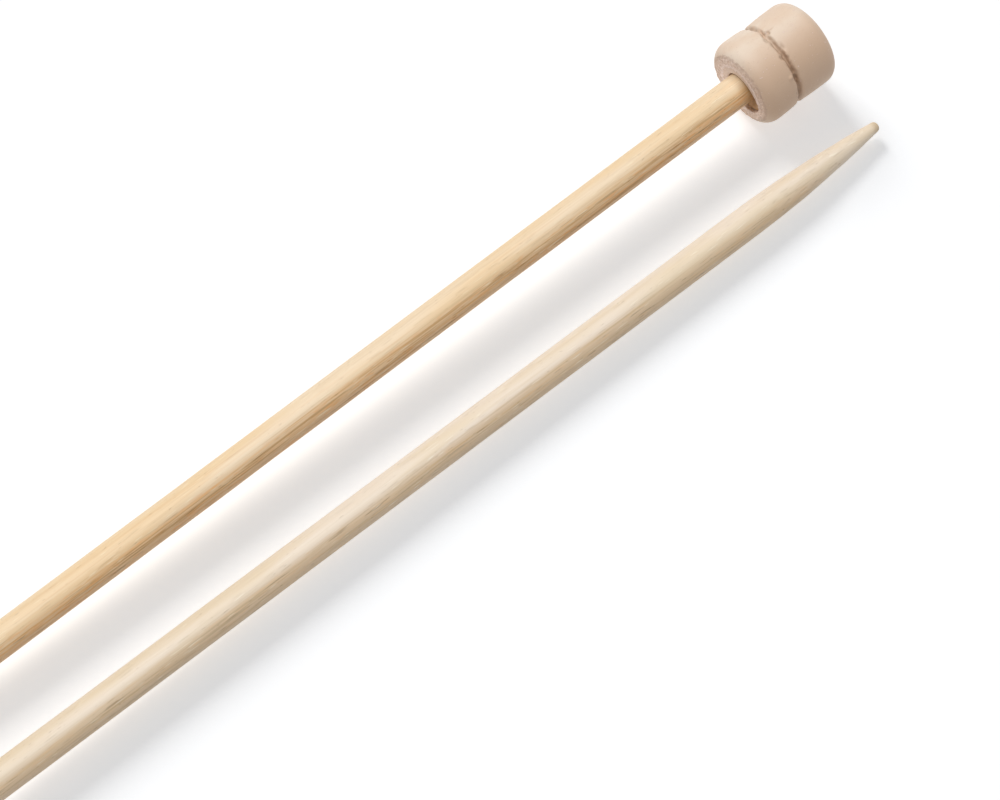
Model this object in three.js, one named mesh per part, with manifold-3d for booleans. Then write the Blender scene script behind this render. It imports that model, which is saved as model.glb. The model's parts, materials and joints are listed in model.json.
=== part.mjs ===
// A pair of straight, single-pointed bamboo knitting needles, laid side by side with their
// points opposite ways. Millimetres, +X along the needles, +Z up, standing on Z = 0.
// Each needle is a round bamboo shaft, a turned wooden knob bored to take it, and the glue
// that fills the bore round the shaft.

import * as THREE from 'three';
import { mergeVertices } from 'three/addons/utils/BufferGeometryUtils.js';
import Module from 'manifold-3d';

// ---- driving dimensions ----------------------------------------------------------------

const NEEDLE_LENGTH = 330; // point to the knob's outer face
const AXIS_SPACING = 14.4; // between the two shafts' axes, as they lie

const SHAFT_RADIUS = 2.25; // a 4.5 mm needle
const TAPER_LENGTH = 24; // from the shoulder to the point
const TAPER_ARC_RADIUS = 182; // the long arc that the taper is cut to
const SHAFT_SIDES = 32;

const KNOB_LENGTH = 12.6;
const LOBE_RADIUS = { mouth: 6.36, outer: 6.29 }; // the two lobes at their fullest
const LOBE_FALL = 0.1; // each lobe is this much slimmer beside the groove
const MOUTH_ROUND = { along: 2.0, across: 1.5 };
const OUTER_ROUND = { along: 1.9, across: 2.0 };
const GROOVE = { fromMouth: 5.55, halfWidth: 0.52, depth: 0.75 };
const KNOB_SIDES = 48;

const BORE = { radius: 2.55, depth: 9.0, offCentre: 0.15, drillPoint: 59 }; // half angle in degrees
const SLIP = { radius: 2.45, depth: 1.6, offCentre: 1.45 }; // where the drill skated before it bit
const SHAFT_SEAT = 8.6; // how far the shaft goes into the bore
const GLUE_BELOW_MOUTH = 0.9;
const GLUE_GAP = 0.1; // kept between the glue and both pieces that it holds
const BORE_SIDES = 32;

const KNOB_MOUTH = NEEDLE_LENGTH - KNOB_LENGTH; // from the point
const SHAFT_END = KNOB_MOUTH + SHAFT_SEAT;

// Each needle: which way it points, and to which side of the shaft its drill skated.
const NEEDLES = [
  { name: 'needle_a', side: 1, turn: 0, boreClock: 212, shaftColour: 0xdcc08c },
  { name: 'needle_b', side: -1, turn: 180, boreClock: 262, shaftColour: 0xdccbab },
];

const wasm = await Module();
wasm.setup();

// ---- outlines, as [distance from the point, radius] -------------------------------------

/** Points of a quarter ellipse, from angle zero up to a right angle. */
function quarterEllipse(steps, place) {
  return Array.from({ length: steps + 1 }, (_, i) => {
    const angle = (Math.PI / 2) * (i / steps);
    return place(Math.sin(angle), Math.cos(angle));
  });
}

/** Radius of the taper's long arc at a distance from the point. */
function taperRadius(x) {
  return SHAFT_RADIUS - (TAPER_LENGTH - x) ** 2 / (2 * TAPER_ARC_RADIUS);
}

/** The shaft: a rounded tip, a long curved taper, then straight to the end in the bore. */
function shaftOutline(steps = 12) {
  const tipRadius = taperRadius(0.8) * 1.01;
  const tip = quarterEllipse(5, (s, c) => [tipRadius * (1 - c), tipRadius * s]).slice(0, -1);
  const taper = Array.from({ length: steps + 1 }, (_, i) => {
    const x = tipRadius + (TAPER_LENGTH - tipRadius) * (i / steps);
    return [x, taperRadius(x)];
  });
  return [...tip, ...taper, [SHAFT_END, SHAFT_RADIUS], [SHAFT_END, 0]];
}

/** The knob before it is bored: two barrel lobes with a groove between them. */
function knobOutline() {
  const mouthFace = LOBE_RADIUS.mouth - MOUTH_ROUND.across;
  const outerFace = LOBE_RADIUS.outer - OUTER_ROUND.across;
  const mouthRound = quarterEllipse(6, (s, c) => [
    MOUTH_ROUND.along * (1 - c), mouthFace + MOUTH_ROUND.across * s]);
  const outerRound = quarterEllipse(6, (s, c) => [
    KNOB_LENGTH - OUTER_ROUND.along * (1 - s), outerFace + OUTER_ROUND.across * c]);
  const { fromMouth, halfWidth, depth } = GROOVE;
  const lobeEdge = LOBE_RADIUS.mouth - LOBE_FALL;
  const outerEdge = LOBE_RADIUS.outer - LOBE_FALL;
  return [
    [0, 0], ...mouthRound,
    [fromMouth / 2 + 1, LOBE_RADIUS.mouth - LOBE_FALL * 0.3],
    [fromMouth - halfWidth, lobeEdge],
    [fromMouth - halfWidth * 0.3, lobeEdge - depth],
    [fromMouth + halfWidth * 0.3, lobeEdge - depth],
    [fromMouth + halfWidth, outerEdge],
    [fromMouth + 2.9, LOBE_RADIUS.outer - LOBE_FALL * 0.3],
    ...outerRound, [KNOB_LENGTH, 0],
  ];
}

/** A blind hole with its drill point, from a start inwards, shrunk by a gap. */
function holeOutline(hole, start, gap) {
  const radius = hole.radius - gap;
  const point = radius / Math.tan(THREE.MathUtils.degToRad(BORE.drillPoint));
  return [[start, 0], [start, radius], [hole.depth - gap, radius], [hole.depth - gap + point, 0]];
}

// ---- solids ------------------------------------------------------------------------------

/** A body of revolution along +X from [along, radius] points, with a side's edge underneath. */
function turned(outline, sides) {
  const profile = outline.map(([along, radius]) => new THREE.Vector2(radius, along));
  const geometry = new THREE.LatheGeometry(profile, sides);
  geometry.rotateZ(-Math.PI / 2); // the lathe's +Y becomes +X
  return geometry;
}

/** A closed three.js geometry as a manifold solid. */
function solidOf(geometry) {
  const bare = geometry.clone();
  bare.deleteAttribute('normal');
  bare.deleteAttribute('uv');
  const merged = mergeVertices(bare, 1e-4);
  return new wasm.Manifold(new wasm.Mesh({
    numProp: 3,
    vertProperties: merged.attributes.position.array,
    triVerts: new Uint32Array(merged.index.array),
  }));
}

/** A manifold solid back as a three.js geometry. */
function geometryOf(solid) {
  const mesh = solid.getMesh();
  const geometry = new THREE.BufferGeometry();
  geometry.setAttribute('position', new THREE.BufferAttribute(mesh.vertProperties, 3));
  geometry.setIndex(new THREE.BufferAttribute(mesh.triVerts, 1));
  geometry.computeVertexNormals();
  return geometry;
}

/** One hole, moved off the needle's axis towards a clock angle. */
function holeSolid(hole, clockDegrees, start, gap) {
  const angle = THREE.MathUtils.degToRad(clockDegrees);
  const geometry = turned(holeOutline(hole, start, gap), BORE_SIDES);
  geometry.translate(0, hole.offCentre * Math.cos(angle), hole.offCentre * Math.sin(angle));
  return solidOf(geometry);
}

/** The bore together with the shallow slip beside it at the mouth. */
function boreSolid(clockDegrees, start, gap) {
  return holeSolid(BORE, clockDegrees, start, gap).add(holeSolid(SLIP, clockDegrees, start, gap));
}

/** The knob, bored for its shaft. */
function knobGeometry(clockDegrees) {
  return geometryOf(solidOf(turned(knobOutline(), KNOB_SIDES)).subtract(boreSolid(clockDegrees, -2, 0)));
}

/** The glue: what is left of the bore round and behind the seated shaft. */
function glueGeometry(clockDegrees) {
  const radius = SHAFT_RADIUS + GLUE_GAP;
  const seat = SHAFT_SEAT + GLUE_GAP;
  const shaft = turned([[-2, 0], [-2, radius], [seat, radius], [seat, 0]], SHAFT_SIDES);
  return geometryOf(boreSolid(clockDegrees, GLUE_BELOW_MOUTH, GLUE_GAP).subtract(solidOf(shaft)));
}

// ---- how a needle lies -------------------------------------------------------------------

/** The steepest slope, in radians, from one outline point to any point of the knob. */
function slopeToKnob([x, radius], knob) {
  return Math.max(...knob.map(([along, knobRadius]) => (
    Math.atan2(knobRadius - radius, along + KNOB_MOUTH - x))));
}

/** How far a needle leans when it lies on its knob and on its shaft near the taper. */
function restingLean() {
  const knob = knobOutline();
  return Math.min(...shaftOutline(48).slice(0, -2).map((point) => slopeToKnob(point, knob)));
}

/** How high the point end of the axis must be for the whole needle to lie on Z = 0. */
function restingLift(lean) {
  const knob = knobOutline().map(([along, radius]) => [along + KNOB_MOUTH, radius]);
  const bottoms = [...shaftOutline(), ...knob].map(([x, radius]) => (
    x * Math.sin(lean) - radius * Math.cos(lean)));
  return -Math.min(...bottoms);
}

// ---- the pair ----------------------------------------------------------------------------

function piece(name, geometry, color, roughness) {
  const material = new THREE.MeshStandardMaterial({ color, roughness, metalness: 0 });
  const mesh = new THREE.Mesh(geometry, material);
  mesh.name = name;
  return mesh;
}

/** One needle, in its own frame: point at the origin, knob towards +X. */
function needle({ name, boreClock, shaftColour }) {
  const group = new THREE.Group();
  const shaft = piece(`${name}_shaft`, turned(shaftOutline(), SHAFT_SIDES), shaftColour, 0.5);
  const knob = piece(`${name}_knob`, knobGeometry(boreClock), 0xcdb296, 0.6);
  const glue = piece(`${name}_glue`, glueGeometry(boreClock), 0x9a6a34, 0.3);
  knob.position.x = KNOB_MOUTH;
  glue.position.x = KNOB_MOUTH;
  group.add(shaft, knob, glue);
  return group;
}

const pair = new THREE.Group();
const lean = restingLean();
const lift = restingLift(lean);

for (const design of NEEDLES) {
  const leaning = needle(design);
  leaning.rotation.y = -lean;
  leaning.position.set(-(NEEDLE_LENGTH / 2) * Math.cos(lean), 0, lift);
  const placed = new THREE.Group();
  placed.add(leaning);
  placed.rotation.z = THREE.MathUtils.degToRad(design.turn);
  placed.position.y = (AXIS_SPACING / 2) * design.side;
  pair.add(placed);
}

export default pair;
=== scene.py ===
"""A pair of straight bamboo knitting needles: fine meshes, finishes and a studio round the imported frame."""

import json
import logging
import math
from contextlib import contextmanager
from dataclasses import dataclass, field
from enum import Enum
from typing import Callable, Iterator, NamedTuple, Sequence

import bpy
from mathutils import Matrix, Vector


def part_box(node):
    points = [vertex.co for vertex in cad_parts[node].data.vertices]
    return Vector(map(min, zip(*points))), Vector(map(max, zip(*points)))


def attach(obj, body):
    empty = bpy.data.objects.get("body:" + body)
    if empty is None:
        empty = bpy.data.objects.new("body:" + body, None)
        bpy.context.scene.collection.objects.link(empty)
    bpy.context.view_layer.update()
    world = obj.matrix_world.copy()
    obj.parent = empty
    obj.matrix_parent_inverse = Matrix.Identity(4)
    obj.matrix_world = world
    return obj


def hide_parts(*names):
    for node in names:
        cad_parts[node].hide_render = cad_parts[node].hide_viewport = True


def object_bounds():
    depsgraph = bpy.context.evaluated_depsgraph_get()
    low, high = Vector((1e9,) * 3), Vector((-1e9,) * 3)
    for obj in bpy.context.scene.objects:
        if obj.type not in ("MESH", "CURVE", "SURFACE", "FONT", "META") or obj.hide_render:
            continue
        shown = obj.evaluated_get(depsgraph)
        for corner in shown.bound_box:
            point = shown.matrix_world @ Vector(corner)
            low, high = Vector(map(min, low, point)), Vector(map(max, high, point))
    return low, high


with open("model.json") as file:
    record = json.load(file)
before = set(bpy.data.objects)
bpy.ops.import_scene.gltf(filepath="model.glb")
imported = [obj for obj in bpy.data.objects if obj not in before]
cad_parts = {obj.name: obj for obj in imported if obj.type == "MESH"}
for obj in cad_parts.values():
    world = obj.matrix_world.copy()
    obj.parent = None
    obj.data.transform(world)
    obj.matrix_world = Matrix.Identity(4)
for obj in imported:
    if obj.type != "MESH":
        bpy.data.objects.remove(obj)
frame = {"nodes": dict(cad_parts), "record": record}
CAD_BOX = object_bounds()
MM = 0.001

log = logging.getLogger("needles")

Colour = tuple[float, float, float]


# ---- shader expressions -------------------------------------------------------------------


class Value:
    """A number that varies over a surface, so that sums on it add Math nodes."""

    def __init__(self, graph: "Graph", socket: bpy.types.NodeSocket) -> None:
        """Keeps the socket and the graph that it belongs to."""
        self.graph = graph
        self.socket = socket

    def _math(self, operation: str, *operands: "Value | float") -> "Value":
        """Adds one Math node over those operands, and gives its result."""
        inputs = dict(enumerate(operands))
        return self.graph.node("ShaderNodeMath", {"operation": operation}, inputs).value("Value")

    def __add__(self, other: "Value | float") -> "Value":
        """This plus the other."""
        return self._math("ADD", self, other)

    def __radd__(self, other: float) -> "Value":
        """A number plus this."""
        return self._math("ADD", other, self)

    def __sub__(self, other: "Value | float") -> "Value":
        """This less the other."""
        return self._math("SUBTRACT", self, other)

    def __rsub__(self, other: float) -> "Value":
        """A number less this."""
        return self._math("SUBTRACT", other, self)

    def __mul__(self, other: "Value | float") -> "Value":
        """This times the other."""
        return self._math("MULTIPLY", self, other)

    def __rmul__(self, other: float) -> "Value":
        """A number times this."""
        return self._math("MULTIPLY", other, self)

    def band(self, low: float, high: float) -> "Value":
        """A smooth step over this value.

        Args:
            low: Where the step is 0.
            high: Where it is 1, below low for a falling step.

        Returns:
            The step, from 0 to 1.
        """
        settings = {"interpolation_type": "SMOOTHSTEP", "clamp": True}
        inputs = {"Value": self, "From Min": low, "From Max": high}
        if low > high:
            inputs = {"Value": self, "From Min": high, "From Max": low, "To Min": 1.0, "To Max": 0.0}
        return self.graph.node("ShaderNodeMapRange", settings, inputs).value("Result")


class Made(NamedTuple):
    """A node in a graph, with its outputs at hand."""

    graph: "Graph"
    node: bpy.types.Node

    def out(self, key: str) -> bpy.types.NodeSocket:
        """The output socket of that identifier or name."""
        return find_socket(self.node.outputs, key)

    def value(self, key: str) -> Value:
        """The output of that name, as a number to reckon with."""
        return Value(self.graph, self.out(key))


def find_socket(sockets: Sequence[bpy.types.NodeSocket], key: "str | int") -> bpy.types.NodeSocket:
    """Finds a node's socket.

    Args:
        sockets: The node's inputs or outputs.
        key: The socket's place, identifier or name.

    Returns:
        The socket.
    """
    if isinstance(key, int):
        return sockets[key]
    exact = [s for s in sockets if s.identifier == key]
    return (exact or [s for s in sockets if s.name == key])[0]


class Grain(Enum):
    """The noises in the finishes: units per millimetre along and across a needle, detail, roughness."""

    BAMBOO_GROUND = (0.035, 0.35, 3.0, 0.5)
    STREAKS = (0.04, 2.3, 3.0, 0.55)
    STRANDS = (0.06, 4.2, 2.0, 0.5)
    THREADS = (0.12, 9.0, 2.0, 0.6)
    EMBERS = (0.4, 3.4, 1.0, 0.5)
    DARK_PORES = (0.22, 4.6, 1.0, 0.5)
    DOTS = (1.0, 5.5, 1.0, 0.5)
    PALE_DASHES = (0.3, 5.5, 1.0, 0.5)
    KNOB_CLOUDS = (0.22, 0.3, 3.0, 0.5)
    KNOB_BLUSH = (0.12, 0.45, 2.0, 0.5)
    KNOB_FINE = (1.6, 9.0, 3.0, 0.65)
    KNOB_PITS = (2.2, 2.8, 1.0, 0.5)
    TORN_WOOD = (2.6, 2.6, 4.0, 0.7)
    TORN_FUZZ = (3.4, 3.8, 2.0, 0.6)
    GLUE_CLOUDS = (0.8, 0.8, 3.0, 0.5)
    GLUE_RIPPLES = (1.6, 1.6, 2.0, 0.5)
    FLOOR_MOTTLE = (3.0, 3.0, 2.0, 0.5)


class Graph:
    """The node tree of a material or of the world, which grows by one method."""

    def __init__(self, owner: bpy.types.Material | bpy.types.World) -> None:
        """Empties a node tree, ready for its first node.

        Args:
            owner: What the tree belongs to.
        """
        owner.use_nodes = True
        self.owner = owner
        self.tree = owner.node_tree
        self.tree.nodes.clear()

    def node(self, kind: str, settings: dict | None = None, inputs: dict | None = None) -> Made:
        """Adds any node.

        Args:
            kind: The node's type.
            settings: Its own settings, which are set first.
            inputs: Socket to number, colour, vector, Value or socket.

        Returns:
            The node.
        """
        made = self.tree.nodes.new(kind)
        for key, setting in (settings or {}).items():
            setattr(made, key, setting)
        for key, given in (inputs or {}).items():
            socket = find_socket(made.inputs, key)
            given = given.socket if isinstance(given, Value) else given
            if isinstance(given, bpy.types.NodeSocket):
                self.tree.links.new(given, socket)
            else:
                socket.default_value = given
        return Made(self, made)

    def mix(self, factor: Value | float, a: object, b: object) -> bpy.types.NodeSocket:
        """Mixes two colours.

        Args:
            factor: How much of b.
            a: A colour or a socket.
            b: A colour or a socket.

        Returns:
            The mixed colour.
        """
        a, b = ((*c, 1.0) if isinstance(c, tuple) else c for c in (a, b))
        inputs = {"Factor_Float": factor, "A_Color": a, "B_Color": b}
        return self.node("ShaderNodeMix", {"data_type": "RGBA"}, inputs).out("Result_Color")

    def vector(self, operation: str, *operands: object) -> bpy.types.NodeSocket:
        """Adds one Vector Math node over those operands, and gives its result."""
        inputs = dict(enumerate(operands))
        return self.node("ShaderNodeVectorMath", {"operation": operation}, inputs).out("Vector")

    def attribute(self, name: str) -> Value:
        """A number that is kept at each of the piece's points."""
        return self.node("ShaderNodeAttribute", {"attribute_name": name}).value("Fac")

    def local_millimetres(self, lie: "Lie") -> bpy.types.NodeSocket:
        """The place on the surface in a needle's own frame.

        Args:
            lie: Where the needle lies.

        Returns:
            Millimetres from the needle's point, X towards its knob.
        """
        back = lie.turn.inverted()
        where = -(back @ (lie.point / MM))
        inputs = {
            "Vector": self.node("ShaderNodeTexCoord").out("Object"),
            "Location": where,
            "Rotation": back.to_euler(),
            "Scale": (1 / MM,) * 3,
        }
        return self.node("ShaderNodeMapping", {"vector_type": "POINT"}, inputs).out("Vector")

    def stretched(self, place: bpy.types.NodeSocket, along: float, across: float) -> bpy.types.NodeSocket:
        """The place in pattern units, of which there are so many per millimetre along and across."""
        return self.vector("MULTIPLY", place, (along, across, across))

    def noise(self, place: bpy.types.NodeSocket, grain: Grain) -> Value:
        """Noise of one grain, from 0 to 1.

        Args:
            place: Millimetres in the needle's frame.
            grain: How coarse the noise is, and how rich.

        Returns:
            The noise.
        """
        along, across, detail, roughness = grain.value
        drawn_out = self.stretched(place, along, across)
        inputs = {"Vector": drawn_out, "Scale": 1.0, "Detail": detail, "Roughness": roughness}
        return self.node("ShaderNodeTexNoise", None, inputs).value("Fac")

    def side(self, parts: Made, clock_angle: float, radius: float) -> Value:
        """How far a point is towards one side of the needle.

        Args:
            parts: The point's three coordinates.
            clock_angle: The side, in degrees from +Y towards +Z.
            radius: The radius of the piece.

        Returns:
            1 on the surface at that side, -1 opposite it.
        """
        angle = math.radians(clock_angle)
        y, z = parts.value("Y"), parts.value("Z")
        return (y * math.cos(angle) + z * math.sin(angle)) * (1 / radius)

    def wander(self, place: bpy.types.NodeSocket, along: float, reach: float) -> bpy.types.NodeSocket:
        """The place, drifting slowly sideways along the needle.

        Args:
            place: Millimetres in the needle's frame.
            along: Drifts per millimetre.
            reach: Millimetres that it drifts.

        Returns:
            The drifting place.
        """
        inputs = {"Vector": self.stretched(place, along, along), "Scale": 1.0, "Detail": 1.0}
        drift = self.node("ShaderNodeTexNoise", None, inputs).out("Color")
        centred = self.vector("SUBTRACT", drift, (0.5,) * 3)
        return self.vector("MULTIPLY_ADD", centred, (0.0, reach, reach), place)

    def finish(
        self,
        colour: bpy.types.NodeSocket,
        roughness: Value,
        height: Value,
        relief_mm: float,
        constants: dict[str, object] | None = None,
    ) -> bpy.types.Material:
        """Ends the graph in a Principled shader.

        Args:
            colour: The base colour.
            roughness: The roughness.
            height: The bump's height, from 0 to 1.
            relief_mm: What a height of 1 is worth.
            constants: Further shader sockets that are the same all over.

        Returns:
            The material.
        """
        relief = {"Strength": 1.0, "Distance": relief_mm * MM, "Height": height}
        bump = self.node("ShaderNodeBump", None, relief).out("Normal")
        inputs = {"Base Color": colour, "Roughness": roughness, "Normal": bump, **(constants or {})}
        shader = self.node("ShaderNodeBsdfPrincipled", None, inputs).out("BSDF")
        self.node("ShaderNodeOutputMaterial", None, {"Surface": shader})
        return self.owner


# ---- where a needle lies ------------------------------------------------------------------


@dataclass(frozen=True)
class Lie:
    """Where one needle of the frame lies, with its sizes as packed."""

    body: str
    point: Vector
    turn: Matrix
    length: float
    shaft_radius: float
    knob_radius: float
    knob_length: float
    seat: float

    @classmethod
    def of(cls, body: str) -> "Lie":
        """Reads a needle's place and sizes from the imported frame.

        Args:
            body: The needle's body name.

        Returns:
            Its lie, with sizes in millimetres.
        """
        mounts = {m["name"]: m for m in frame["record"]["mounts"]}
        face = mounts[f"{body}_knob_face"]
        end, axis = Vector(face["pos_m"]), Vector(face["axis"]).normalized()
        across = Vector((0, 0, 1)).cross(axis).normalized()
        turn = Matrix((axis, across, axis.cross(across))).transposed()

        def reach(node: str, pick: Callable[[Iterator[float]], float]) -> float:
            """The nearest or furthest that a node comes from the knob's face, in millimetres."""
            return pick((end - v.co).dot(axis) for v in frame["nodes"][node].data.vertices) / MM

        def radius(node: str) -> float:
            """Half of a node's width across the needle, in millimetres."""
            low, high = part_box(node)
            return (high.y - low.y) / 2 / MM

        length = reach(f"{body}_shaft", max)
        return cls(
            body=body,
            point=end - axis * length * MM,
            turn=turn,
            length=length,
            shaft_radius=radius(f"{body}_shaft"),
            knob_radius=radius(f"{body}_knob"),
            knob_length=reach(f"{body}_knob", max),
            seat=reach(f"{body}_knob", max) - reach(f"{body}_shaft", min),
        )

    def matrix(self, start: float = 0.0) -> Matrix:
        """Carries millimetres on the needle, counted from start, to the row frame."""
        local = Matrix.Translation((start, 0, 0))
        return Matrix.Translation(self.point) @ self.turn.to_4x4() @ Matrix.Scale(MM, 4) @ local


# ---- work at the bench --------------------------------------------------------------------


class Ring(NamedTuple):
    """One ring of a turned body: its place, its radius and its share of the off-centre shift."""

    along: float
    radius: float
    shift: float = 0.0


ON_AXIS = Vector((0, 0, 0)).freeze()


def arc(
    centre: tuple[float, float],
    reach: tuple[float, float],
    turn: tuple[float, float],
    steps: int,
) -> list[Ring]:
    """Rings on part of an ellipse.

    Args:
        centre: Its centre, as (along, radius).
        reach: Its half axes along the body and across it.
        turn: First and last angle in degrees, 0 along the body and 90 outwards.
        steps: How many steps between them.

    Returns:
        The rings, both ends included.
    """
    first, last = turn
    angles = [math.radians(first + (last - first) * i / steps) for i in range(steps + 1)]
    return [
        Ring(centre[0] + reach[0] * math.cos(angle), centre[1] + reach[1] * math.sin(angle))
        for angle in angles]


def clear_selection() -> None:
    """Leaves nothing selected, in object mode."""
    if bpy.context.object and bpy.context.object.mode != "OBJECT":
        bpy.ops.object.mode_set(mode="OBJECT")
    bpy.ops.object.select_all(action="DESELECT")


def take_up(piece: bpy.types.Object) -> None:
    """Selects one piece alone, as the active one.

    Args:
        piece: The piece.
    """
    clear_selection()
    piece.select_set(True)
    bpy.context.view_layer.objects.active = piece


@contextmanager
def editing(piece: bpy.types.Object) -> Iterator[None]:
    """Holds one piece in edit mode.

    Args:
        piece: The piece.
    """
    take_up(piece)
    bpy.ops.object.mode_set(mode="EDIT")
    yield
    bpy.ops.object.mode_set(mode="OBJECT")


def turned(
    name: str,
    rings: Sequence[Ring],
    sides: int,
    shift: Vector = ON_AXIS,
) -> bpy.types.Object:
    """Turns a closed body along +X: a disc, extruded and resized ring by ring, closed at its end.

    Args:
        name: The piece's name.
        rings: Its outline, from one end on the axis to the other.
        sides: How many sides each ring has.
        shift: How far a ring with a shift of 1 is off centre.

    Returns:
        The piece, in millimetres.
    """
    clear_selection()
    first = rings[0]
    centre = Vector((first.along, 0, 0)) + shift * first.shift
    bpy.ops.mesh.primitive_circle_add(
        vertices=sides, radius=first.radius, fill_type="TRIFAN",
        location=centre, rotation=(0, math.pi / 2, 0))
    piece = bpy.context.object
    piece.name = piece.data.name = name
    bpy.ops.object.transform_apply(location=True, rotation=True, scale=True)
    with editing(piece):
        bpy.ops.mesh.select_mode(type="EDGE")
        bpy.ops.mesh.select_all(action="DESELECT")
        bpy.ops.mesh.select_non_manifold()
        for last, ring in zip(rings, rings[1:]):
            move = Vector((ring.along - last.along, 0, 0)) + shift * (ring.shift - last.shift)
            bpy.ops.mesh.extrude_region_move(TRANSFORM_OT_translate={"value": move})
            centre = centre + move
            bpy.ops.transform.resize(value=(ring.radius / last.radius,) * 3, center_override=centre)
        bpy.ops.mesh.extrude_region_move()
        bpy.ops.mesh.merge(type="CENTER")
        bpy.ops.mesh.select_all(action="SELECT")
        bpy.ops.mesh.normals_make_consistent(inside=False)
        bpy.ops.mesh.select_all(action="DESELECT")
    return piece


def apply_modifier(piece: bpy.types.Object, kind: str, **settings: object) -> None:
    """Adds one modifier and applies it.

    Args:
        piece: The piece.
        kind: The modifier's type.
        settings: The modifier's settings.
    """
    take_up(piece)
    modifier = piece.modifiers.new(kind.lower(), kind)
    for key, setting in settings.items():
        setattr(modifier, key, setting)
    bpy.ops.object.modifier_apply(modifier=modifier.name)


def smooth_finely(piece: bpy.types.Object, levels: int) -> None:
    """Subdivides a piece into a fine smooth surface."""
    apply_modifier(piece, "SUBSURF", levels=levels, render_levels=levels)


LEAST_WEIGHT = 0.001


def weigh(piece: bpy.types.Object, name: str, weight: Callable[[Vector], float]) -> str:
    """Makes a vertex group from a rule.

    Args:
        piece: The piece.
        name: The group's name.
        weight: Gives each point's weight, from 0 to 1.

    Returns:
        The group's name.
    """
    group = piece.vertex_groups.new(name=name)
    for vertex in piece.data.vertices:
        amount = weight(vertex.co)
        if amount > LEAST_WEIGHT:
            group.add([vertex.index], min(amount, 1.0), "REPLACE")
    return name


def roughen(piece: bpy.types.Object, group: str, depth: float, grain: float) -> None:
    """Raises and sinks the surface by a noise, where a vertex group says.

    Args:
        piece: The piece.
        group: The vertex group, or an empty name for all of it.
        depth: How far, from lowest to highest.
        grain: The size of a bump.
    """
    noise = bpy.data.textures.new(f"{piece.name}_{group or 'all'}", "CLOUDS")
    noise.noise_scale = grain
    apply_modifier(piece, "DISPLACE", texture=noise, strength=depth, mid_level=0.5, vertex_group=group)


def sink(piece: bpy.types.Object, group: str, depth: float) -> None:
    """Sinks the surface by a depth, where a vertex group says."""
    apply_modifier(piece, "DISPLACE", strength=-depth, mid_level=0.0, vertex_group=group)


def hump(x: float, centre: float, reach: float) -> float:
    """A smooth hump: 1 at the centre, 0 at reach from it."""
    share = min(abs(x - centre) / reach, 1.0)
    return (1 - share * share) ** 2


def clock(point: Vector) -> float:
    """A point's angle round the needle in degrees, from +Y towards +Z."""
    return math.degrees(math.atan2(point.z, point.y)) % 360


def around(angle: float, centre: float) -> float:
    """The difference of two clock angles, from -180 to 180."""
    return (angle - centre + 180) % 360 - 180


def settle(piece: bpy.types.Object, lie: Lie, start: float) -> None:
    """Carries a finished piece to its place, into its mesh.

    Args:
        piece: The piece, in millimetres from start along the needle.
        lie: Where the needle lies.
        start: How far the piece's zero is from the needle's point.
    """
    take_up(piece)
    piece.matrix_world = lie.matrix(start)
    bpy.ops.object.transform_apply(location=True, rotation=True, scale=True)
    bpy.ops.object.shade_smooth()
    piece.vertex_groups.clear()


# ---- finishes -----------------------------------------------------------------------------


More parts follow.
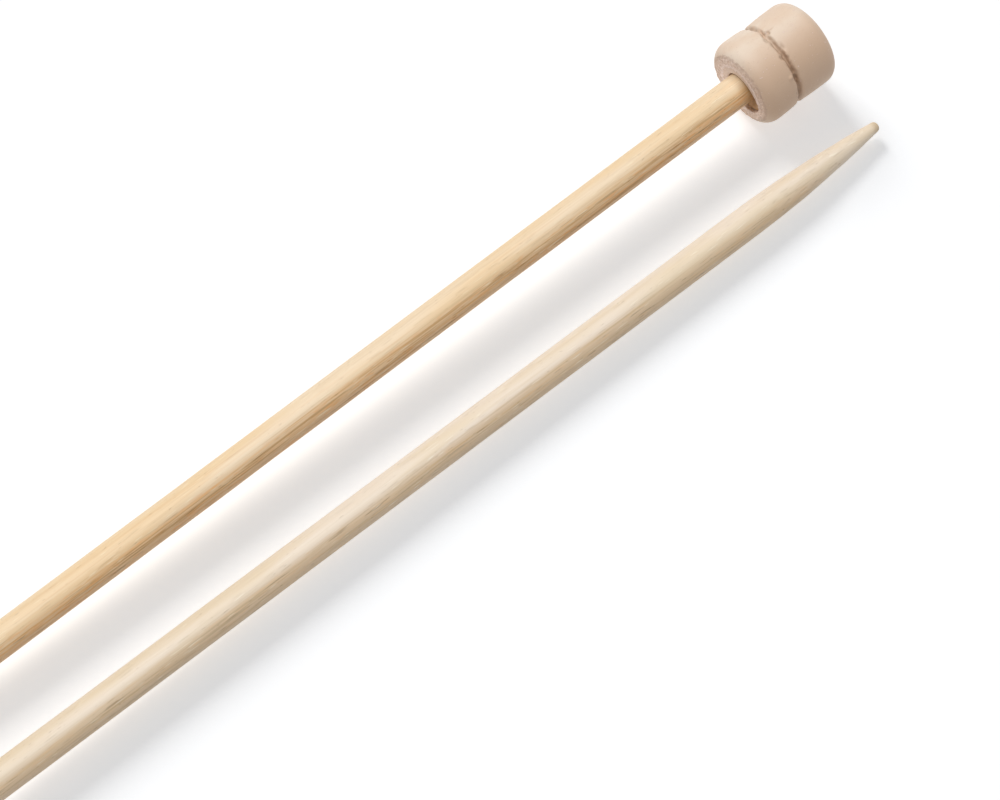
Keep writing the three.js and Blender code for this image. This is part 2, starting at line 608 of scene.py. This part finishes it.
@dataclass(frozen=True)
class Bamboo:
    """Sanded bamboo: a pale ground, bundles of fibre that run lengthwise, short pores and dashes."""

    slot: str
    ground: Colour
    pale: Colour
    # The skin colour and its side stand for the cane's skin and also for painted shade on the side turned
    # from the lamps.
    skin: Colour
    amber: Colour
    ember: Colour
    fibre: Colour
    dark_pore: Colour
    dash: Colour
    skin_clock: float
    fibre_strength: float

    def material(self, lie: Lie) -> bpy.types.Material:
        """Makes the finish for one needle's shaft.

        Args:
            lie: Where the needle lies.

        Returns:
            The material.
        """
        g = Graph(bpy.data.materials.new(f"{self.slot}_finish"))
        place = g.local_millimetres(lie)
        drifting = g.wander(place, 0.045, 0.5)
        parts = g.node("ShaderNodeSeparateXYZ", None, {0: place})
        towards_skin_and_shade = g.side(parts, self.skin_clock, lie.shaft_radius)

        # A pale ground, browner on the side that was nearest the cane's skin, which is also painted shade on
        # the side turned from the lamps.
        broad = g.noise(place, Grain.BAMBOO_GROUND)
        colour = g.mix(broad.band(0.35, 0.65), self.ground, self.pale)
        skin_and_shade_share = (towards_skin_and_shade + (broad - 0.5) * 0.35).band(0.58, 1.0)
        colour = g.mix(skin_and_shade_share * 0.85, colour, self.skin)

        # Fibres from broad to fine, most of them on the skin's side, where they add to its painted shade.
        streaks = g.noise(drifting, Grain.STREAKS)
        strands = g.noise(drifting, Grain.STRANDS)
        threads = g.noise(place, Grain.THREADS)
        share = (0.16 + 0.84 * skin_and_shade_share) * self.fibre_strength
        embers = g.noise(drifting, Grain.EMBERS).band(0.58, 0.66)
        colour = g.mix(streaks.band(0.5, 0.62) * share * 0.75, colour, self.amber)
        colour = g.mix(embers * skin_and_shade_share * self.fibre_strength * 0.65, colour, self.ember)
        colour = g.mix(strands.band(0.56, 0.62) * share * 0.9, colour, self.fibre)
        colour = g.mix(threads.band(0.56, 0.66) * share * 0.7, colour, self.fibre)

        # Open pores, and pale dashes where a fibre lifted.
        dark = g.noise(drifting, Grain.DARK_PORES).band(0.68, 0.73)
        dots = g.noise(drifting, Grain.DOTS).band(0.69, 0.74) * strands.band(0.42, 0.55)
        light = g.noise(place, Grain.PALE_DASHES).band(0.68, 0.73)
        colour = g.mix(dark * (0.1 + 0.4 * skin_and_shade_share), colour, self.dark_pore)
        colour = g.mix(dots * (0.3 + 0.3 * skin_and_shade_share), colour, self.dark_pore)
        colour = g.mix(light * 0.7, colour, self.dash)

        # Browner end grain at the very point, and painted shade where the shaft enters its knob, most on the
        # side turned from the lamps.
        along, mouth = parts.value("X"), lie.length - lie.knob_length
        end_grain = (along + (threads - 0.5) * 0.9 - towards_skin_and_shade * 0.4).band(1.2, 0.4)
        colour = g.mix(end_grain * 0.6, colour, self.fibre)
        # Painted shade of the knob on the shaft, in the fibre colour.
        knob_shade = (along + (threads - 0.5) * 0.8).band(mouth - 1.6, mouth + 0.2)
        colour = g.mix(knob_shade * (0.1 + 0.6 * towards_skin_and_shade.band(0.1, 0.8)), colour, self.fibre)

        height = threads * 0.3 + 0.5 - strands * 0.4 - dark * 0.5 + light * 0.2
        roughness = 0.4 + 0.12 * strands + 0.1 * dark + 0.15 * end_grain
        return g.finish(colour, roughness, height, 0.035)


class Wear(NamedTuple):
    """What a knob's finish is told at each point, each under its own name in the mesh."""

    relief: float
    torn: float
    depth: float
    mouth: float


@dataclass(frozen=True)
class KnobWood:
    """Close-grained wood, turned and sanded, torn at the mouth, with painted shade deep in the groove, the
    dents and the bore.
    """

    slot: str
    ground: Colour
    pale: Colour
    blush: Colour
    heart: Colour
    heart_clock: float
    face: Colour
    torn_light: Colour
    torn_dark: Colour
    # The groove colour is painted shade, laid in the groove, the dents, the bore and the inner mouth.
    groove: Colour

    def material(self, lie: Lie) -> bpy.types.Material:
        """Makes the finish for one needle's knob, from the wear that its points note.

        Args:
            lie: Where the needle lies.

        Returns:
            The material.
        """
        g = Graph(bpy.data.materials.new(f"{self.slot}_{lie.body}_finish"))
        place = g.local_millimetres(lie)
        relief, torn, depth, mouth = (g.attribute(name) for name in Wear._fields)
        parts = g.node("ShaderNodeSeparateXYZ", None, {0: place})
        heartward = g.side(parts, self.heart_clock, lie.knob_radius)

        # Pale clouds and a blush, deepening to heartwood on one side.
        clouds = g.noise(place, Grain.KNOB_CLOUDS)
        blush = g.noise(g.wander(place, 0.1, 1.5), Grain.KNOB_BLUSH)
        fine = g.noise(place, Grain.KNOB_FINE)
        heart_share = (heartward + (clouds - 0.5) * 0.3).band(0.3, 1.0)
        colour = g.mix(clouds.band(0.36, 0.64), self.ground, self.pale)
        colour = g.mix(blush.band(0.5, 0.75) * 0.6, colour, self.blush)
        colour = g.mix(heart_share * 0.9, colour, self.heart)
        colour = g.mix(fine.band(0.5, 0.85) * 0.16, colour, self.torn_dark)

        pits = g.noise(place, Grain.KNOB_PITS)
        flecks = pits.band(0.715, 0.75)
        colour = g.mix(pits.band(0.68, 0.71) * 0.3, colour, self.torn_dark)
        colour = g.mix(flecks * 0.4, colour, self.torn_light)

        # Torn fibres round the mouth: a lifted inner ridge, a hairy band, a ragged outer line.
        rough_grain = g.noise(place, Grain.TORN_WOOD)
        fuzz = g.noise(place, Grain.TORN_FUZZ)
        ragged = mouth + (rough_grain - 0.5) * 0.9 + (fuzz - 0.5) * 0.5
        outer_line = ragged.band(0.78, 0.95) * ragged.band(1.18, 1.02)
        lifted = ragged + heart_share * 0.22
        ridge = lifted.band(-0.1, 0.06) * lifted.band(0.34, 0.16) * mouth.band(-0.5, -0.25)
        # Painted shade on the inner part of the torn band, on the heart side.
        inner_mouth_shade = mouth.band(-0.15, 0.1) * mouth.band(0.7, 0.4) * heart_share
        # Torn wood, darker in its sunk hollows, which is painted shade, and paler where it stands up.
        raised = (relief + (rough_grain - 0.5) * 1.4).band(-0.5, 0.5)
        torn_with_hollow_shade = g.mix(raised, self.torn_dark, self.torn_light)
        colour = g.mix(mouth.band(1.1, 0.7) * (0.5 - 0.4 * heart_share), colour, self.face)
        colour = g.mix(torn * 0.15, colour, torn_with_hollow_shade)
        colour = g.mix(inner_mouth_shade * 0.3, colour, self.groove)
        hairy = torn * mouth.band(-0.3, 0.0) * mouth.band(1.0, 0.6)
        colour = g.mix(fuzz.band(0.48, 0.41) * hairy * 0.22, colour, self.torn_dark)
        colour = g.mix(fuzz.band(0.52, 0.58) * hairy * 0.6, colour, self.torn_light)
        colour = g.mix(outer_line * torn.band(0.05, 0.4) * 0.36, colour, self.torn_dark)
        colour = g.mix(ridge * 0.85, colour, self.torn_light)
        # Painted shade: darker the deeper the surface lies in the groove, the dents and the bore, most on the
        # heart side.
        colour = g.mix(depth.band(0.05, 0.75) * (0.42 + 0.5 * heart_share), colour, self.groove)

        fibres = rough_grain * torn * 0.7 + fuzz * torn * 0.5
        height = fine * 0.1 + fibres + flecks * 0.3 + ridge * 0.4 + 0.2
        roughness = 0.5 + 0.1 * fine + 0.22 * torn
        return g.finish(colour, roughness, height, 0.06)


@dataclass(frozen=True)
class DriedGlue:
    """Amber-brown glue, glossy and a little cloudy."""

    slot: str
    clear: Colour
    cloudy: Colour

    def material(self, lie: Lie) -> bpy.types.Material:
        """Makes the finish for one needle's glue.

        Args:
            lie: Where the needle lies.

        Returns:
            The material.
        """
        g = Graph(bpy.data.materials.new(f"{self.slot}_{lie.body}_finish"))
        place = g.local_millimetres(lie)
        clouds = g.noise(place, Grain.GLUE_CLOUDS)
        colour = g.mix(clouds.band(0.35, 0.7), self.clear, self.cloudy)
        ripples = g.noise(place, Grain.GLUE_RIPPLES)
        return g.finish(colour, 0.2 + 0.25 * clouds, ripples, 0.05)


@dataclass(frozen=True)
class FloorPaint:
    """Matt white floor with the faintest mottle, lit a little from within like a light table."""

    tone: float
    glow: float
    glow_colour: Colour = (0.965, 0.99, 1.03)
    mottle_tone: float = 0.995

    def material(self) -> bpy.types.Material:
        """Makes the floor's finish.

        Returns:
            The material.
        """
        g = Graph(bpy.data.materials.new("floor_paint"))
        g.owner.cycles.emission_sampling = "NONE"
        place = g.node("ShaderNodeTexCoord").out("Object")
        mottle = g.noise(place, Grain.FLOOR_MOTTLE)
        colour = g.mix(mottle, (self.tone,) * 3, (self.tone * self.mottle_tone,) * 3)
        constants = {
            "Specular IOR Level": 0.0,
            "Emission Color": (*self.glow_colour, 1.0),
            "Emission Strength": self.glow,
        }
        return g.finish(colour, 0.9 + 0.05 * mottle, mottle, 0.01, constants)


# ---- the pieces of a needle ---------------------------------------------------------------


@dataclass
class Shaft:
    """The bamboo shaft: a rounded point, a long curved taper, and a straight run into the knob."""

    lie: Lie
    finish: Bamboo
    taper_length: float = 24.0
    taper_arc: float = 182.0
    nose_at: float = 0.8
    end_flat: float = 0.34
    blunter: float = 0.06
    blunt_length: float = 8.0
    end_chamfer: float = 0.2
    whittled_at: float = 9.0
    whittled_reach: float = 16.0
    smooth_tip: float = 0.3
    sides: int = 72
    nose_steps: int = 8
    first_gap: float = 0.25
    gap_growth: float = 1.12
    ring_gap: float = 2.0

    def taper_radius(self, x: float) -> float:
        """The shaft's radius at a distance from the point, short of the shoulder."""
        blunter = self.blunter * max(0.0, 1 - x / self.blunt_length)
        return self.lie.shaft_radius - (self.taper_length - x) ** 2 / (2 * self.taper_arc) + blunter

    def outline(self) -> list[Ring]:
        """Lays out the shaft's rings, close together at the point and wider apart along the shaft.

        Returns:
            The rings, from the point to the end in the bore.
        """
        nose, full = self.taper_radius(self.nose_at), self.lie.shaft_radius
        reach = (nose, nose - self.end_flat)
        rings = arc((nose, self.end_flat), reach, (180, 90), self.nose_steps)
        gap, x = self.first_gap, nose
        end = self.lie.length - self.lie.knob_length + self.lie.seat
        while x < end - self.ring_gap:
            x += gap
            gap = min(gap * self.gap_growth, self.ring_gap)
            rings.append(Ring(x, self.taper_radius(x) if x < self.taper_length else full))
        return [*rings, Ring(end - self.end_chamfer, full), Ring(end, full - self.end_chamfer)]

    def whittled(self, point: Vector) -> float:
        """How much the knife left the taper uneven at a point, from 0 to 1."""
        return hump(point.x, self.whittled_at, self.whittled_reach) if point.x > self.smooth_tip else 0.0

    def build(self) -> bpy.types.Object:
        """Turns, sands and dresses the shaft.

        Returns:
            The finished piece, in place.
        """
        piece = turned(f"{self.lie.body}_bamboo_shaft", self.outline(), self.sides)
        roughen(piece, weigh(piece, "whittled", self.whittled), depth=0.14, grain=3.5)
        roughen(piece, "", depth=0.05, grain=9.0)
        settle(piece, self.lie, 0.0)
        piece.data.materials.append(self.finish.material(self.lie))
        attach(piece, self.lie.body)
        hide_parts(f"{self.lie.body}_shaft")
        return piece


class Dent(NamedTuple):
    """A nick or, with a negative depth, a lump in a knob."""

    along: float
    clock: float
    reach_along: float
    reach_round: float
    depth: float


@dataclass
class Knob:
    """The turned knob: two barrel lobes, a groove between them, and an off-centre blind bore."""

    lie: Lie
    finish: KnobWood
    bore_clock: float
    dents: Sequence[Dent]
    bore_radius: float = 2.55
    bore_depth: float = 9.0
    bore_off_centre: float = 0.15
    slip_depth: float = 1.3
    slip_reach: float = 1.3
    slip_spread: float = 2.4
    slip_facing: float = 0.6
    wall_slack: float = 0.2
    drill_point: float = 59.0
    rim_chamfer: float = 0.12
    torn_band: tuple[float, float] = (3.5, 5.3)
    torn_length: float = 2.2
    torn_fade: float = 0.22
    rim_share: float = 0.6
    rind: float = 1.2
    mouth_round: tuple[float, float] = (2.0, 1.5)
    outer_round: tuple[float, float] = (1.9, 2.0)
    outer_slimmer: float = 0.07
    lobe_fall: float = 0.1
    groove_at: float = 5.55
    groove_half_width: float = 0.52
    groove_depth: float = 0.75
    lip: float = 0.5
    groove_sink_reach: float = 1.6
    relief_gain: float = 6.0
    dent_gain: float = 3.0
    sides: int = 72
    levels: int = 2

    @property
    def start(self) -> float:
        """Where the mouth is, in millimetres from the needle's point."""
        return self.lie.length - self.lie.knob_length

    @property
    def bore_side(self) -> Vector:
        """The direction, across the knob, that the bore is off its axis."""
        angle = math.radians(self.bore_clock)
        return Vector((0, math.cos(angle), math.sin(angle)))

    @property
    def shift(self) -> Vector:
        """How far the bore is off the knob's axis."""
        return self.bore_off_centre * self.bore_side

    def bore(self) -> list[Ring]:
        """Lays out the bore.

        Returns:
            The rings, from its drill point out to its mouth.
        """
        cone = self.bore_radius / math.tan(math.radians(self.drill_point))
        steps = (self.bore_depth, 6.0, 3.5, 2.0, 1.2, 0.7, 0.35, 0.15)
        wall = [Ring(along, self.bore_radius, 1.0) for along in steps]
        return [Ring(self.bore_depth + cone * 0.98, self.bore_radius * 0.02, 1.0), *wall]

    def mouth(self, steps: int = 5, rim_steps: int = 9) -> list[Ring]:
        """Lays out the mouth's face, which loses the bore's shift on the way out.

        Args:
            steps: How many steps the flat face has.
            rim_steps: How many the rounded rim has.

        Returns:
            The rings, from the bore's edge to the rim.
        """
        inner, edge = self.bore_radius + self.rim_chamfer, self.lie.knob_radius - self.mouth_round[1]
        face = [Ring(0.02, inner + (edge - inner) * i / steps, 1 - i / steps) for i in range(steps + 1)]
        rim = arc((self.mouth_round[0], edge), self.mouth_round, (180, 90), rim_steps)
        return [*face, *rim[1:]]

    def lobes(self) -> list[Ring]:
        """Lays out both lobes and the groove between them.

        Returns:
            The rings, from one rounded rim to the other.
        """
        full, outer = self.lie.knob_radius, self.lie.knob_radius - self.outer_slimmer
        low = full - self.lobe_fall
        floor = low - self.groove_depth
        at = self.groove_at
        near, far = at - self.groove_half_width, at + self.groove_half_width
        return [
            Ring(2.6, full),
            Ring(3.3, full - self.lobe_fall * 0.2),
            Ring(4.0, full - self.lobe_fall * 0.5),
            Ring(near - 0.4, low + 0.01),
            Ring(near - 0.1, low - 0.03),
            Ring(near + 0.12, low - 0.16),
            Ring(at - 0.2, floor + 0.1),
            Ring(at, floor),
            Ring(at + 0.2, floor + 0.1),
            Ring(far - 0.12, low - 0.16),
            Ring(far + 0.1, low - 0.07),
            Ring(far + 0.4, low - 0.05),
            Ring(7.4, outer - self.lobe_fall * 0.3),
            Ring(8.7, outer),
            Ring(9.9, outer),
        ]

    def outer_end(self) -> list[Ring]:
        """Lays out the outer rim and the flat face behind it.

        Returns:
            The rings, from the outer lobe to the middle of the face.
        """
        along, across = self.outer_round
        edge = self.lie.knob_radius - self.outer_slimmer - across
        rim = arc((self.lie.knob_length - along, edge), self.outer_round, (90, 0), 8)
        face = [Ring(self.lie.knob_length, edge * share) for share in (0.93, 0.7, 0.4, 0.12)]
        return [*rim, *face]

    def dented(self, point: Vector) -> float:
        """How deep the dents go at a point, as a share of a millimetre."""
        return self._cut(point, 1)

    def lumpy(self, point: Vector) -> float:
        """How high the lumps stand at a point, as a share of a millimetre."""
        return self._cut(point, -1)

    def _cut(self, point: Vector, sign: int) -> float:
        """Adds up the dents of one sign at a point.

        Args:
            point: A point of the knob.
            sign: 1 for dents, -1 for lumps.

        Returns:
            Their depth, or 0 below the knob's rind.
        """
        if point.yz.length < self.lie.knob_radius - self.rind:
            return 0.0
        angle = clock(point)
        return sum(
            abs(dent.depth)
            * hump(point.x, dent.along, dent.reach_along)
            * hump(around(angle, dent.clock), 0, dent.reach_round)
            for dent in self.dents if dent.depth * sign > 0)

    def mouth_share(self, point: Vector) -> float:
        """How far out a point is across the mouth's torn band: 0 at its inner edge, 1 at its outer."""
        inner, outer = self.torn_band
        return (point.yz.length + self.rim_share * point.x - inner) / (outer - inner)

    def torn(self, point: Vector) -> float:
        """How torn the grain is at a point.

        Args:
            point: A point of the knob.

        Returns:
            1 all over the band round the mouth, fading to 0 on either side.
        """
        if point.x > self.torn_length:
            return 0.0
        share = self.mouth_share(point)
        return max(0.0, 1 - max(-share, share - 1, 0.0) / self.torn_fade)

    def bored(self, point: Vector, normal: Vector) -> bool:
        """Tells the bore's wall and drill point, which face the axis, from the rest.

        Args:
            point: A point of the knob.
            normal: Its normal.

        Returns:
            Whether it is in the bore.
        """
        within = 0.2 < point.x < self.lie.knob_length - 1.0
        near_axis = point.yz.length < self.lie.knob_radius - 1.5
        return within and near_axis and point.yz.dot(normal.yz) < 0

    def groove_lips(self, point: Vector) -> float:
        """How rough the tool left the wood at a point: on the groove's floor and its two lips."""
        return hump(point.x, self.groove_at, self.groove_half_width + self.lip)

    def build(self) -> bpy.types.Object:
        """Turns, bores, roughens and dresses the knob.

        Returns:
            The finished piece, in place.
        """
        rings = [*self.bore(), *self.mouth(), *self.lobes(), *self.outer_end()]
        piece = turned(f"{self.lie.body}_wooden_knob", rings, self.sides, self.shift)
        self.slip(piece)
        smooth_finely(piece, self.levels)
        smooth = [vertex.co.copy() for vertex in piece.data.vertices]
        normals = [vertex.normal.copy() for vertex in piece.data.vertices]
        roughen(piece, weigh(piece, "torn", self.torn), depth=0.3, grain=0.45)
        roughen(piece, weigh(piece, "lips", self.groove_lips), depth=0.34, grain=0.65)
        sink(piece, weigh(piece, "dents", self.dented), depth=1.0)
        sink(piece, weigh(piece, "lumps", self.lumpy), depth=-1.0)
        roughen(piece, "", depth=0.07, grain=4.0)
        self.note_wear(piece, smooth, normals)
        settle(piece, self.lie, self.start)
        piece.data.materials.append(self.finish.material(self.lie))
        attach(piece, self.lie.body)
        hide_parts(f"{self.lie.body}_knob")
        return piece

    def slip(self, piece: bpy.types.Object) -> None:
        """Pushes the bore's mouth to one side, where the drill slipped before it bit.

        Args:
            piece: The knob or the glue in it, turned but not yet smoothed.
        """
        sideways = self.bore_side
        with editing(piece):
            bpy.ops.mesh.select_all(action="DESELECT")
        for vertex in piece.data.vertices:
            arm = vertex.co - self.shift
            at_wall = abs(arm.yz.length - self.bore_radius) < self.wall_slack
            at_mouth = vertex.co.x < self.slip_depth
            facing = arm.dot(sideways) > self.slip_facing * arm.yz.length
            vertex.select = at_wall and at_mouth and facing
        with editing(piece):
            bpy.ops.mesh.select_mode(type="VERT")
            bpy.ops.transform.translate(
                value=sideways * self.slip_reach,
                use_proportional_edit=True,
                proportional_edit_falloff="SMOOTH",
                proportional_size=self.slip_spread)
            bpy.ops.mesh.select_all(action="DESELECT")

    def wear(self, now: Vector, before: Vector, normal: Vector) -> Wear:
        """Judges the wear at one point, and how deep it lies, for the painted shade.

        Args:
            now: The point as it is.
            before: Where it was before the knob was roughened.
            normal: Its normal then.

        Returns:
            Its wear.
        """
        sunk = self.lie.knob_radius - self.lobe_fall - now.yz.length
        # How far the surface sinks round the groove, which sets its painted shade.
        groove_sink = hump(now.x, self.groove_at, self.groove_sink_reach) * sunk
        return Wear(
            relief=(now - before).dot(normal) * self.relief_gain,
            torn=self.torn(before),
            depth=max(groove_sink, self.dent_gain * self.dented(before), float(self.bored(before, normal))),
            mouth=self.mouth_share(before) if before.x < self.torn_length else 2.0,
        )

    def note_wear(
        self,
        piece: bpy.types.Object,
        smooth: Sequence[Vector],
        normals: Sequence[Vector],
    ) -> None:
        """Writes each point's wear into the mesh, for the finish.

        Args:
            piece: The knob, still in millimetres.
            smooth: Its points before they were roughened.
            normals: Their normals.
        """
        piece.vertex_groups.clear()
        points = zip(piece.data.vertices, smooth, normals)
        wear = [self.wear(vertex.co, before, normal) for vertex, before, normal in points]
        for name, values in zip(Wear._fields, zip(*wear)):
            piece.data.attributes.new(name, "FLOAT", "POINT").data.foreach_set("value", values)


@dataclass
class Glue:
    """The glue that fills the bore round the shaft, with a hollow top."""

    knob: Knob
    finish: DriedGlue
    below_mouth: float = 0.65
    film: float = 0.06
    hollow: float = 0.1
    waist: float = 4.0
    sides: int = 64

    def hollow_top(self, bore: float, shaft: float, steps: int = 6) -> list[Ring]:
        """Lays out the glue's top, which sags between the bore's wall and the shaft.

        Args:
            bore: The glue's radius at the bore's wall.
            shaft: Its radius at the shaft.
            steps: How many steps it has.

        Returns:
            The rings, from the wall to the shaft.
        """
        rings = []
        for share in (i / steps for i in range(steps + 1)):
            sag = self.hollow * math.sin(math.pi * share)
            rings.append(Ring(self.below_mouth + sag, bore + (shaft - bore) * share, 1 - share))
        return rings

    def outline(self) -> list[Ring]:
        """Lays out the glue.

        Returns:
            The rings: up the bore's wall, over the hollow top and down the shaft.
        """
        bore, shaft = self.knob.bore_radius - self.film, self.knob.lie.shaft_radius + self.film
        depth, seat = self.knob.bore_depth - self.film, self.knob.lie.seat + self.film
        cone = bore / math.tan(math.radians(self.knob.drill_point))
        tip = Ring(depth + cone * 0.98, bore * 0.02, 1.0)
        wall = [Ring(depth, bore, 1.0), Ring(self.waist, bore, 1.0)]
        sleeve = [Ring(self.waist, shaft), Ring(seat, shaft), Ring(seat, shaft * 0.1)]
        return [tip, *wall, *self.hollow_top(bore, shaft), *sleeve]

    def build(self) -> bpy.types.Object:
        """Fills the bore and dresses the glue.

        Returns:
            The finished piece, in place.
        """
        lie = self.knob.lie
        piece = turned(f"{lie.body}_dried_glue", self.outline(), self.sides, self.knob.shift)
        self.knob.slip(piece)
        top = weigh(piece, "top", lambda p: hump(p.x, self.below_mouth, 1.0))
        roughen(piece, top, depth=0.08, grain=0.8)
        settle(piece, lie, self.knob.start)
        piece.data.materials.append(self.finish.material(lie))
        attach(piece, lie.body)
        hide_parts(f"{lie.body}_glue")
        return piece


@dataclass
class Needle:
    """One needle: shaft, knob and the glue between them."""

    shaft: Shaft
    knob: Knob
    glue: Glue

    def build(self) -> list[bpy.types.Object]:
        """Builds the needle's pieces in order."""
        return [self.shaft.build(), self.knob.build(), self.glue.build()]


# ---- which needles ------------------------------------------------------------------------

WARM_BAMBOO = Bamboo(
    slot="bamboo_warm",
    ground=(0.78, 0.58, 0.35),
    pale=(0.79, 0.63, 0.44),
    skin=(0.74, 0.50, 0.28),
    amber=(0.75, 0.42, 0.17),
    ember=(0.78, 0.38, 0.13),
    fibre=(0.50, 0.29, 0.12),
    dark_pore=(0.24, 0.13, 0.05),
    dash=(0.88, 0.74, 0.52),
    skin_clock=160.0,
    fibre_strength=0.95,
)
PALE_BAMBOO = Bamboo(
    slot="bamboo_pale",
    ground=(0.73, 0.60, 0.43),
    pale=(0.77, 0.66, 0.54),
    skin=(0.67, 0.49, 0.31),
    amber=(0.68, 0.48, 0.26),
    ember=(0.74, 0.50, 0.28),
    fibre=(0.50, 0.37, 0.22),
    dark_pore=(0.27, 0.18, 0.10),
    dash=(0.86, 0.77, 0.62),
    skin_clock=25.0,
    fibre_strength=0.65,
)
KNOB_WOOD = KnobWood(
    slot="knob_wood",
    ground=(0.70, 0.54, 0.41),
    pale=(0.74, 0.61, 0.49),
    blush=(0.71, 0.51, 0.37),
    heart=(0.58, 0.40, 0.275),
    heart_clock=142.0,
    face=(0.80, 0.60, 0.50),
    torn_light=(0.92, 0.75, 0.67),
    torn_dark=(0.46, 0.30, 0.23),
    groove=(0.34, 0.21, 0.13),
)
GLUE = DriedGlue(slot="dried_glue", clear=(0.54, 0.28, 0.10), cloudy=(0.68, 0.43, 0.22))


class Choice(Enum):
    """The two needles of the pair, each with its bamboo, its bore and its knob's dents."""

    A = (
        "needle_a",
        WARM_BAMBOO,
        212.0,
        (
            Dent(6.1, 71.5, 0.45, 5.5, 0.32),  # the nick on the outer lip
            Dent(6.75, 70.0, 0.95, 1.7, 0.22),  # the crack that runs on from it
            Dent(4.65, 138, 0.45, 4.5, -0.18),  # a lump on the inner lip
            Dent(5.3, 62, 0.5, 9, -0.2),  # swarf left in the groove
            Dent(5.0, 110, 0.35, 5, 0.18),  # and chips along both lips
            Dent(5.0, 80, 0.35, 7, 0.2),
            Dent(6.15, 98, 0.4, 9, 0.14),
            Dent(4.9, 165, 0.4, 6, 0.12),
        ),
    )
    B = (
        "needle_b",
        PALE_BAMBOO,
        262.0,
        (
            Dent(4.9, 40, 0.4, 8, 0.2),  # chips on either lip
            Dent(6.3, 150, 0.5, 5, 0.25),
            Dent(5.0, 250, 0.4, 4, -0.12),  # a lump
        ),
    )

    def needle(self) -> Needle:
        """Lays out this needle from the frame.

        Returns:
            The needle, ready to be built.
        """
        body, bamboo, bore_clock, dents = self.value
        lie = Lie.of(body)
        knob = Knob(lie, KNOB_WOOD, bore_clock, dents)
        return Needle(Shaft(lie, bamboo), knob, Glue(knob, GLUE))


# ---- the studio ---------------------------------------------------------------------------


class Flag(Enum):
    """What the flags beside a lamp keep its light off."""

    NOTHING = ""
    FLOOR = "EXCLUDE"
    NEEDLES = "INCLUDE"


class Lamp(NamedTuple):
    """A far soft light: its name, where it shines from in degrees, its strength, width and flag."""

    name: str
    azimuth: float
    elevation: float
    strength: float
    width: float
    flag: Flag = Flag.NOTHING


@dataclass
class Studio:
    """A white floor, soft light from above and behind, and the camera."""

    floor_size: float = 40.0
    floor: FloorPaint = FloorPaint(tone=0.9, glow=0.41)
    sky_light: float = 0.3
    sky_seen: float = 1.02
    sky_mirrored: float = 0.7
    lamps: Sequence[Lamp] = (
        Lamp("overhead_softbox", 180.0, 71.0, 2.6, 55.0, Flag.FLOOR),
        Lamp("floor_light", 180.0, 38.0, 1.98, 26.0, Flag.NEEDLES),
    )
    camera_azimuth: float = -39.16
    camera_elevation: float = 67.6
    camera_distance: float = 0.380
    camera_target: Vector = field(default_factory=lambda: Vector((0.09900, -0.00715, 0.005)))
    lens: float = 105.66

    @staticmethod
    def from_angle(azimuth: float, elevation: float) -> Vector:
        """The direction to a place at that azimuth, 0 being -Y and 90 +X, and elevation."""
        a, e = math.radians(azimuth), math.radians(elevation)
        return Vector((math.sin(a) * math.cos(e), -math.cos(a) * math.cos(e), math.sin(e)))

    def lay_floor(self) -> bpy.types.Object:
        """Lays the floor under the lowest point of the needles.

        Returns:
            The floor.
        """
        clear_selection()
        bpy.ops.mesh.primitive_plane_add(size=self.floor_size, location=(0, 0, CAD_BOX[0].z))
        floor = bpy.context.object
        floor.name = "studio_floor"
        floor.data.materials.append(self.floor.material())
        return floor

    def hang_lamps(self, floor: bpy.types.Object) -> None:
        """Hangs the lamps, each with its flag.

        Args:
            floor: The studio's floor.
        """
        for lamp in self.lamps:
            data = bpy.data.lights.new(lamp.name, "SUN")
            data.energy, data.angle = lamp.strength, math.radians(lamp.width)
            light = bpy.data.objects.new(lamp.name, data)
            bpy.context.scene.collection.objects.link(light)
            towards = self.from_angle(lamp.azimuth, lamp.elevation)
            light.location = towards
            light.rotation_euler = towards.to_track_quat("Z", "Y").to_euler()
            if lamp.flag is not Flag.NOTHING:
                lit = bpy.data.collections.new(f"{lamp.name}_reach")
                lit.objects.link(floor)
                lit.collection_objects[0].light_linking.link_state = lamp.flag.value
                light.light_linking.receiver_collection = lit

    def set_sky(self) -> None:
        """Sets the sky: dim where it lights, white where it is seen."""
        world = bpy.data.worlds.new("studio_sky")
        bpy.context.scene.world = world
        g = Graph(world)
        path = g.node("ShaderNodeLightPath")
        strength = self.sky_light
        for ray, other in (("Is Glossy Ray", self.sky_mirrored), ("Is Camera Ray", self.sky_seen)):
            choice = {"Factor_Float": path.out(ray), "A_Float": strength, "B_Float": other}
            strength = g.node("ShaderNodeMix", None, choice).out("Result_Float")
        background = {"Color": (1.0, 1.0, 1.0, 1.0), "Strength": strength}
        sky = g.node("ShaderNodeBackground", None, background).out("Background")
        g.node("ShaderNodeOutputWorld", None, {"Surface": sky})

    def set_camera(self) -> None:
        """Puts the camera on its tripod and makes it the scene's."""
        data = bpy.data.cameras.new("studio_camera")
        data.lens, data.clip_start, data.clip_end = self.lens, 0.01, 100.0
        camera = bpy.data.objects.new("studio_camera", data)
        bpy.context.scene.collection.objects.link(camera)
        back = self.from_angle(self.camera_azimuth, self.camera_elevation)
        camera.location = self.camera_target + back * self.camera_distance
        camera.rotation_euler = back.to_track_quat("Z", "Y").to_euler()
        bpy.context.scene.camera = camera

    def set_up(self) -> None:
        """Sets up the whole studio."""
        self.hang_lamps(self.lay_floor())
        self.set_sky()
        self.set_camera()
        bpy.context.scene.view_settings.view_transform = "Standard"


def main() -> None:
    """Builds the studio and both needles."""
    logging.basicConfig(level=logging.INFO, format="%(message)s")
    Studio().set_up()
    for choice in Choice:
        for piece in choice.needle().build():
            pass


if __name__ == "__main__":
    main()
